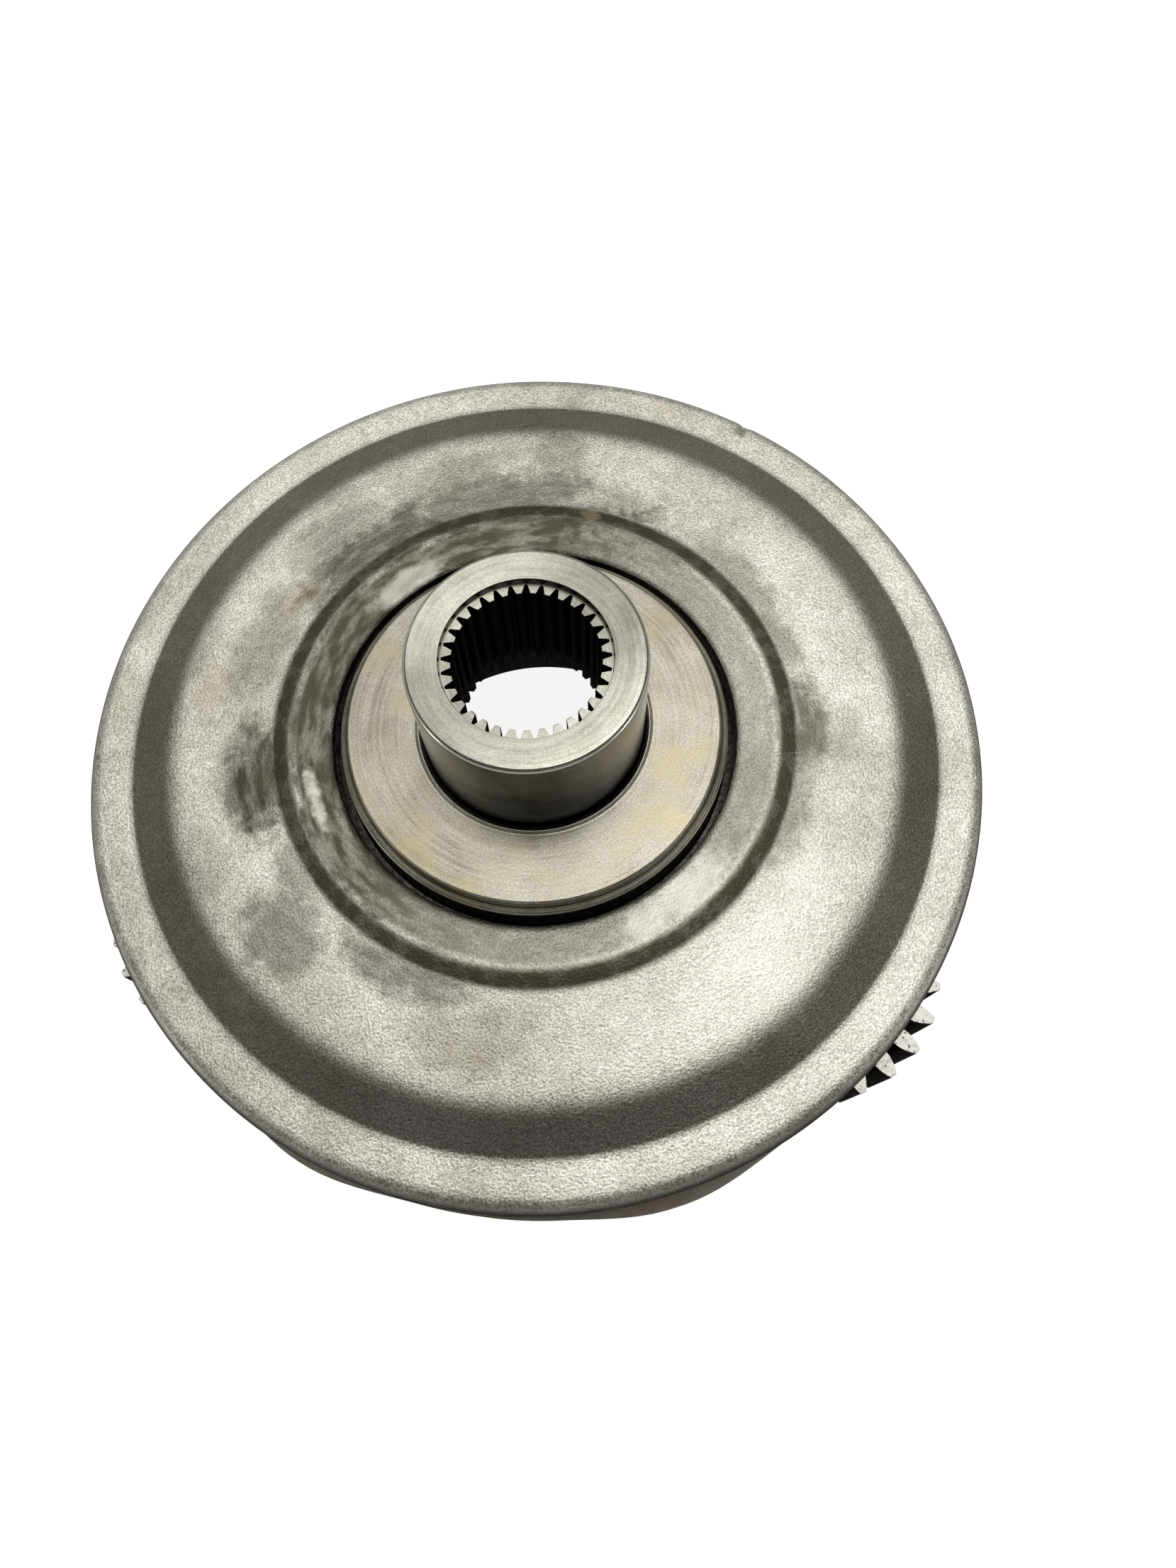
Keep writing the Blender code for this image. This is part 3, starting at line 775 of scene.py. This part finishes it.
def mesh_from_loops(name, loops, through=True):
    """A closed mesh from (outline, level) loops: with a hole through it, or with both ends
    filled."""
    bm = bmesh.new()
    rings = [loop_of(bm, outline, level) for outline, level in loops]
    pairs = list(zip(rings, rings[1:]))
    if through:
        pairs.append((rings[-1], rings[0]))
    else:
        bm.faces.new(rings[0][::-1])
        bm.faces.new(rings[-1])
    for ring, following in pairs:
        join_loops(bm, ring, following)
    bmesh.ops.recalc_face_normals(bm, faces=bm.faces)
    mesh = bpy.data.meshes.new(name)
    bm.to_mesh(mesh)
    bm.free()
    return mesh


def turned_mesh(name, profile, sides=RING_SIDES):
    return mesh_from_loops(name, [(circle(r, sides), z) for r, z in profile])


def put(name, mesh, centre=(0.0, 0.0)):
    """An object of this mesh whose origin stands on its own axis at centre."""
    obj = bpy.data.objects.new(name, mesh)
    obj.location = (centre[0] * MM, centre[1] * MM, 0)
    bpy.context.scene.collection.objects.link(obj)
    return obj


def smooth(mesh, degrees=32):
    mesh.shade_smooth()
    mesh.set_sharp_from_angle(angle=math.radians(degrees))


def settle(obj, body, slot, *nodes):
    """Makes a finished piece ride its body in place of these CAD nodes."""
    smooth(obj.data)
    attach(obj, body)
    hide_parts(*nodes)


def paint(mesh, surfaces, pick):
    """Gives each face the surface that pick(radius, level, normal) names."""
    for surface in surfaces:
        mesh.materials.append(surface)
    for face in mesh.polygons:
        middle = face.center / MM
        face.material_index = pick(math.hypot(middle.x, middle.y), middle.z, face.normal)


def apply_modifiers(obj):
    """Replaces the object's mesh by what its modifiers make of it."""
    bpy.context.view_layer.update()
    evaluated = obj.evaluated_get(bpy.context.evaluated_depsgraph_get())
    made = bpy.data.meshes.new_from_object(evaluated)
    obj.modifiers.clear()
    obj.data = made


def cut(obj, operation, shaper):
    modifier = obj.modifiers.new(shaper.name, "BOOLEAN")
    modifier.operation = operation
    modifier.solver = "EXACT"
    modifier.object = shaper
    apply_modifiers(obj)
    bpy.data.objects.remove(shaper)


# ---------------------------------------------------------------- pieces

def make_cover(surface):
    """The pressed cover, slightly wavy as pressed sheet is, with a nick in its rim."""
    outside = softened([
        (SKIRT_RADIUS, SKIRT_BOTTOM, 0),
        (SKIRT_RADIUS, RIM_LEVEL - 1.2, 2.2),
        (77.7, RIM_LEVEL + 0.7, 1.6),
        (70.9, RIM_LEVEL + 1.05, 0.9),
        (63.0, RIM_LEVEL + 3.95, 2.4),
        (45.1, RIM_LEVEL + 5.7, 0.5),
        (42.1, RIM_LEVEL + 6.5, 1.5),
        (35.6, RIM_LEVEL + 6.0, 0.6),
        (COVER_HOLE, RIM_LEVEL + 5.5, 0.3),
        (COVER_HOLE, RIM_LEVEL + 3.6, 0),
    ])
    inside = softened([
        (COVER_HOLE, RIM_LEVEL + 3.6, 0),
        (41.8, RIM_LEVEL + 3.9, 1.5),
        (44.4, RIM_LEVEL + 3.5, 1.5),
        (61.8, RIM_LEVEL + 4.1 - COVER_THICKNESS, 3),
        (69.8, RIM_LEVEL + 1.2 - COVER_THICKNESS, 2),
        (76.2, RIM_LEVEL + 0.5 - COVER_THICKNESS, 1),
        (SKIRT_RADIUS - COVER_THICKNESS, RIM_LEVEL - 3.0, 1),
        (SKIRT_RADIUS - COVER_THICKNESS, SKIRT_BOTTOM, 0),
    ], steps=3)
    profile = spread(outside, 1.6) + inside[1:]
    mesh = turned_mesh("cover_pressing", profile, COVER_SIDES)
    nick_angle, nick_half_width, nick_depth = 50.0, 0.9, 0.45
    for vert in mesh.vertices:
        place = vert.co / MM
        wave = noise.noise(place * 0.045) * 0.10 + noise.noise(place * 0.16) * 0.035
        vert.co.z += wave * MM
        off = math.degrees(math.atan2(place.y, place.x)) - nick_angle
        radius = math.hypot(place.x, place.y)
        if abs(off) < nick_half_width and radius > 77.5 and place.z > RIM_LEVEL - 4:
            shrink = 1 - nick_depth * (1 - abs(off) / nick_half_width) / radius
            vert.co.x *= shrink
            vert.co.y *= shrink
    mesh.materials.append(surface)
    settle(put("cover_pressing", mesh), "carrier", "cover_steel", "stamped_cover")


# Order of the sun gear's surfaces
HUB_END, FLANGE_FACE, HUB_WALL, OIL_AND_SHADE, GEAR_END = range(5)


def make_sun_gear(surfaces):
    """The one-piece hub and sun gear, with its edges broken and its spline chamfered."""
    spline = inner_teeth(SPLINE_TEETH, SPLINE_TOOTH_AT, SPLINE_TIP, SPLINE_ROOT, 0.38, 0.82)
    bevelled = inner_teeth(SPLINE_TEETH, SPLINE_TOOTH_AT, SPLINE_TIP + 0.1, SPLINE_ROOT, 0.36, 0.8)
    directions = [degrees for radius, degrees in spline]
    outside = softened([
        (36.0, SUN_TEETH_TOP, 0),
        (36.0, PLATE_TOP + 0.3, 0.3),
        (43.1, PLATE_TOP + 0.9, 0.3),
        (43.1, 43.7, 0.3),
        (49.5, 43.7, 0.3),
        (49.5, 47.6, 0.3),
        (42.4, 51.1, 0.4),
        (33.4, 51.1, 0.4),
        (33.4, RIM_LEVEL + 6.4, 0.3),
        (33.1, RIM_LEVEL + 6.8, 0.2),
        (32.4, RIM_LEVEL + 7.0, 0.2),
        (32.2, RIM_LEVEL + 7.5, 0.2),
        (31.8, FLANGE_TOP, 0.35),
        (20.2, FLANGE_TOP, 0.25),
        (19.8, FLANGE_TOP + 0.4, 0.2),
        (19.2, FLANGE_TOP + 0.2, 0.2),
        (17.7, FLANGE_TOP - 0.5, 0.35),
        (17.7, FLANGE_TOP + 0.9, 0.35),
        (HUB_RADIUS, FLANGE_TOP + 1.5, 0.3),
        (HUB_RADIUS, HUB_TOP - 0.5, 0.25),
        (HUB_RADIUS - 0.5, HUB_TOP, 0.25),
        (HUB_BORE + 0.2, HUB_TOP, 0.1),
        (HUB_BORE + 0.02, SPLINE_TOP + 0.3, 0.1),
        (HUB_BORE, SPLINE_TOP, 0),
    ], steps=4)
    bell = softened([
        (HUB_BORE, SPLINE_BOTTOM, 0),
        (15.0, 58.6, 0.8),
        (27.6, 34.0, 1.5),
        (33.0, 31.0, 1.2),
        (33.0, 13.0, 0.8),
        (34.6, SUN_BOTTOM, 0),
    ], steps=4)

    def ring(radius):
        return [polar(radius, degrees) for degrees in directions]

    def teeth(inset):
        return gear_outline(SUN_TEETH, sun_tooth_at(), 5, inset)

    chamfer = 0.4
    loops = [
        (teeth(chamfer), SUN_BOTTOM),
        (teeth(0.0), SUN_BOTTOM + chamfer),
        (teeth(0.0), SUN_TEETH_TOP - chamfer),
        (teeth(chamfer), SUN_TEETH_TOP),
    ]
    loops += [(ring(r), z) for r, z in outside]
    loops += [
        ([polar(*point) for point in bevelled], SPLINE_TOP),
        ([polar(*point) for point in spline], SPLINE_TOP - 0.1),
        ([polar(*point) for point in spline], SPLINE_BOTTOM + 0.1),
        ([polar(*point) for point in bevelled], SPLINE_BOTTOM),
    ]
    loops += [(ring(r), z) for r, z in bell]
    mesh = mesh_from_loops("sun_gear_turned", loops)

    # The spline bore and the faces down in the running gap get the near-black surface: dark oil
    # with painted shade.
    def pick(radius, level, normal):
        if radius < HUB_BORE + 0.1 and level < SPLINE_TOP - 0.03:
            return OIL_AND_SHADE
        if level > HUB_TOP - 0.3 or (radius < HUB_BORE + 0.9 and level > SPLINE_TOP - 0.1):
            return HUB_END
        if radius < HUB_RADIUS + 0.2 and level > FLANGE_TOP - 0.2:
            return HUB_WALL
        flange_top = level > FLANGE_TOP - 1.2 and radius < 32.2
        flange_ledge = level > RIM_LEVEL + 6.5 and radius > 32.3
        if flange_top or flange_ledge:
            return FLANGE_FACE
        if level > RIM_LEVEL - 1 or (radius < 35 and normal.z < 0.9):
            return OIL_AND_SHADE
        return GEAR_END

    paint(mesh, surfaces, pick)
    settle(put("sun_gear_turned", mesh), "sun", "hub_steel", "sun_gear")


def make_planet_gear(number, flank, end):
    """A planet gear with chamfered tooth ends and a shallow recess in each face."""
    tooth_at = planet_tooth_at(number)
    chamfer = 0.12
    recess = 0.5

    def teeth(inset):
        return gear_outline(PLANET_TEETH, tooth_at, 7, inset)

    sides = len(teeth(0.0))
    start = tooth_at - 180 / PLANET_TEETH

    def ring(radius):
        return [polar(radius, start + 360 * i / sides) for i in range(sides)]

    upper = [
        (18.0, PLANET_TOP), (17.6, PLANET_TOP - recess), (14.4, PLANET_TOP - recess),
        (14.0, PLANET_TOP), (PLANET_BORE + 0.4, PLANET_TOP), (PLANET_BORE, PLANET_TOP - 0.4),
    ]
    lower = [(r, PLANET_BOTTOM + PLANET_TOP - z) for r, z in upper[::-1]]
    loops = [
        (teeth(chamfer), PLANET_BOTTOM),
        (teeth(0.0), PLANET_BOTTOM + chamfer),
        (teeth(0.0), PLANET_TOP - chamfer),
        (teeth(chamfer), PLANET_TOP),
    ]
    loops += [(ring(r), z) for r, z in upper + lower]
    mesh = mesh_from_loops(f"planet_gear_cut_{number}", loops)
    paint(mesh, (flank, end), lambda radius, level, normal: 1 if abs(normal.z) > 0.5 else 0)
    gear = put(f"planet_gear_cut_{number}", mesh, PLANET_CENTRES[number])
    settle(gear, f"planet_{number}", "gear_steel", f"planet_gear_{number}")


def groove_cutter():
    return put("groove_cutter", turned_mesh("groove_cutter", [
        (GROOVE_OUTER, -1.0), (GROOVE_OUTER, GROOVE_DEPTH),
        (GROOVE_INNER, GROOVE_DEPTH), (GROOVE_INNER, -1.0),
    ], CARRIER_SIDES))


def make_planet_pin(number, surface):
    """A ground pin with a centre drilling at both ends, stepped for the lock ring."""
    low = level_of(f"planet_pin_{number}", top=False)
    high = level_of(f"planet_pin_{number}")
    profile = [
        (0.5, low + 2.0), (2.2, low + 0.5), (2.5, low), (PIN_RADIUS - 0.9, low),
        (PIN_RADIUS - 0.2, low + 0.4), (PIN_RADIUS, low + 1.0),
        (PIN_RADIUS, high - 1.0), (PIN_RADIUS - 0.2, high - 0.4),
        (PIN_RADIUS - 0.9, high), (2.5, high), (2.2, high - 0.5), (0.5, high - 2.0),
    ]
    loops = [(circle(r, 96), z) for r, z in profile]
    mesh = mesh_from_loops(f"planet_pin_ground_{number}", loops, through=False)
    pin = put(f"planet_pin_ground_{number}", mesh, PLANET_CENTRES[number])
    cut(pin, "DIFFERENCE", groove_cutter())
    pin.data.materials.append(surface)
    settle(pin, "carrier", "bearing_steel", f"planet_pin_{number}")


def leg_outline(number):
    """The leg between this planet and the next, hollowed round the planets' tips."""
    clearance = PLANET_TIP + WINDOW_CLEARANCE
    first = FIRST_PLANET + 120 * (number - 1)
    last = first + 120
    outer = CARRIER_RADIUS - 0.4

    def off_planet(radius):
        cosine = (radius ** 2 + PLANET_ORBIT ** 2 - clearance ** 2) / (2 * radius * PLANET_ORBIT)
        return math.degrees(math.acos(cosine))

    steps = 16
    side = [LEG_INNER + (outer - LEG_INNER) * i / steps for i in range(steps)]
    start, end = first + off_planet(outer), last - off_planet(outer)
    arc = [start + (end - start) * i / 60 for i in range(61)]
    inner_start, inner_end = first + off_planet(LEG_INNER), last - off_planet(LEG_INNER)
    inner = [inner_end + (inner_start - inner_end) * i / 20 for i in range(1, 20)]
    outline = [polar(r, first + off_planet(r)) for r in side]
    outline += [polar(carrier_radius(a, outer), a) for a in arc]
    outline += [polar(r, last - off_planet(r)) for r in side[::-1]]
    outline += [polar(LEG_INNER, a) for a in inner]
    return outline


def make_carrier(surface):
    """Rear plate with dog teeth, legs, pin holes and lock-ring groove, with the plate's outer and
    dog-tooth edges and the pin holes' mouths broken.
    """
    angles = [360 * i / CARRIER_SIDES for i in range(CARRIER_SIDES)]

    def rim(inset):
        return [polar(carrier_radius(a, CARRIER_RADIUS - inset), a) for a in angles]

    def dogs(inset):
        outline = inner_teeth(DOG_TEETH, 0.0, DOG_TIP + inset, DOG_ROOT, 0.42 - inset / 10, 0.56)
        return [polar(*point) for point in outline]

    loops = [
        (rim(1.0), 0.0), (rim(0.3), 0.3), (rim(0.0), 1.0),
        (rim(0.0), REAR_PLATE_TOP - 0.7), (rim(0.6), REAR_PLATE_TOP),
        (dogs(0.6), REAR_PLATE_TOP), (dogs(0.0), REAR_PLATE_TOP - 0.6),
        (dogs(0.0), 0.6), (dogs(0.6), 0.0),
    ]
    body = put("carrier_casting", mesh_from_loops("carrier_casting", loops))
    for number in PLANETS:
        head = PLATE_BOTTOM - 0.3
        outline = leg_outline(number)
        leg = mesh_from_loops(f"leg_{number}", [(outline, 4.0), (outline, head)], through=False)
        cut(body, "UNION", put(f"leg_{number}", leg))
    for number in PLANETS:
        chamfered = [
            (PIN_HOLE + 2.0, -1.2), (PIN_HOLE, 0.8), (PIN_HOLE, REAR_PLATE_TOP - 0.5),
            (PIN_HOLE + 1.5, REAR_PLATE_TOP + 1.0),
        ]
        hole = mesh_from_loops(
            f"pin_hole_{number}", [(circle(r, 96), z) for r, z in chamfered], through=False)
        cut(body, "DIFFERENCE", put(f"pin_hole_{number}", hole, PLANET_CENTRES[number]))
    cut(body, "DIFFERENCE", groove_cutter())
    body.data.materials.clear()
    body.data.materials.append(surface)
    settle(body, "carrier", "carrier_iron", "carrier_body")


def make_front_plate(surface):
    """The carrier's front plate with its pin holes."""
    profile = softened([
        (FRONT_PLATE_RADIUS - 0.5, PLATE_BOTTOM, 0),
        (FRONT_PLATE_RADIUS, PLATE_BOTTOM + 0.5, 0.3),
        (FRONT_PLATE_RADIUS, PLATE_TOP - 0.5, 0.3),
        (FRONT_PLATE_RADIUS - 0.5, PLATE_TOP, 0.3),
        (FRONT_PLATE_HOLE + 0.5, PLATE_TOP, 0.3),
        (FRONT_PLATE_HOLE, PLATE_TOP - 0.5, 0.3),
        (FRONT_PLATE_HOLE, PLATE_BOTTOM + 0.5, 0.3),
        (FRONT_PLATE_HOLE + 0.5, PLATE_BOTTOM, 0),
    ], steps=2)
    plate = put("front_plate_turned", turned_mesh("front_plate_turned", profile, CARRIER_SIDES))
    for number in PLANETS:
        outline = circle(PIN_HOLE, 96)
        hole = mesh_from_loops(
            f"plate_hole_{number}", [(outline, PLATE_BOTTOM - 1), (outline, PLATE_TOP + 1)],
            through=False)
        cut(plate, "DIFFERENCE", put(f"plate_hole_{number}", hole, PLANET_CENTRES[number]))
    plate.data.materials.clear()
    plate.data.materials.append(surface)
    settle(plate, "carrier", "carrier_iron", "carrier_front_plate")


def make_flat_ring(node, inner, outer, body, slot, surface, centre=(0.0, 0.0)):
    """A washer, race or lock ring with broken edges, at its CAD node's own levels."""
    low, high = level_of(node, top=False), level_of(node)
    edge = 0.15
    profile = [
        (outer - edge, low), (outer, low + edge), (outer, high - edge), (outer - edge, high),
        (inner + edge, high), (inner, high - edge), (inner, low + edge), (inner + edge, low),
    ]
    mesh = turned_mesh(f"{node}_ground", profile)
    mesh.materials.append(surface)
    settle(put(f"{node}_ground", mesh, centre), body, slot, node)


def make_rings(steel, bronze):
    make_flat_ring("front_thrust_race", 35.0, 41.5, "carrier", "bearing_steel", steel)
    make_flat_ring("rear_thrust_race", 43.6, 49.5, "carrier", "bearing_steel", steel)
    make_flat_ring("pin_lock_ring", 66.0, 71.2, "carrier", "bearing_steel", steel)
    for number in PLANETS:
        for place in ("front", "rear"):
            make_flat_ring(
                f"{place}_washer_{number}", 8.9, 15.5, "carrier", "bronze", bronze,
                PLANET_CENTRES[number])


def finish_cad_nodes(steel, oil_and_shade):
    """The caged needles keep their CAD shape and get bearing steel; the thrust bearings beside the
    sun gear get near-black steel, dark oil with painted shade.
    """
    dressed = {f"needle_bearing_{number}": steel for number in PLANETS}
    dressed |= {"front_thrust_bearing": oil_and_shade, "rear_thrust_bearing": oil_and_shade}
    for name, surface in dressed.items():
        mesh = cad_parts[name].data
        mesh.materials.clear()
        mesh.materials.append(surface)


def main():
    bpy.context.scene.view_settings.view_transform = "Standard"
    make_camera()
    make_lights()
    make_world()
    make_floor()

    bearing = ground_bearing_steel()
    iron = carrier_iron()
    end = gear_end_steel()
    # Near-black steel for bores and gaps: dark oil with painted shade.
    oil_and_shade = oil_and_shade_steel("spline_steel", (0.10, 0.095, 0.085), (0.018, 0.016, 0.014), 0.4)
    hub_surfaces = (
        # The hub's end gets a painted sheen, lighter towards 120 and 300 degrees.
        turned_steel("hub_end_steel", (0.42, 0.41, 0.37), (0.23, 0.22, 0.19), 0.24, 0.75, 0.5,
                     painted_sheen_at=120, graininess=0.14),
        turned_steel("flange_steel", (0.39, 0.375, 0.325), (0.17, 0.16, 0.135), 0.33, 0.6, 0.6,
                     stain=0.6),
        polished_wall(),
        oil_and_shade,
        end,
    )
    make_cover(pressed_steel())
    make_sun_gear(hub_surfaces)
    make_carrier(iron)
    make_front_plate(iron)
    flank = gear_flank_steel()
    for number in PLANETS:
        make_planet_gear(number, flank, end)
        make_planet_pin(number, bearing)
    make_rings(bearing, washer_bronze())
    finish_cad_nodes(bearing, oil_and_shade)


main()
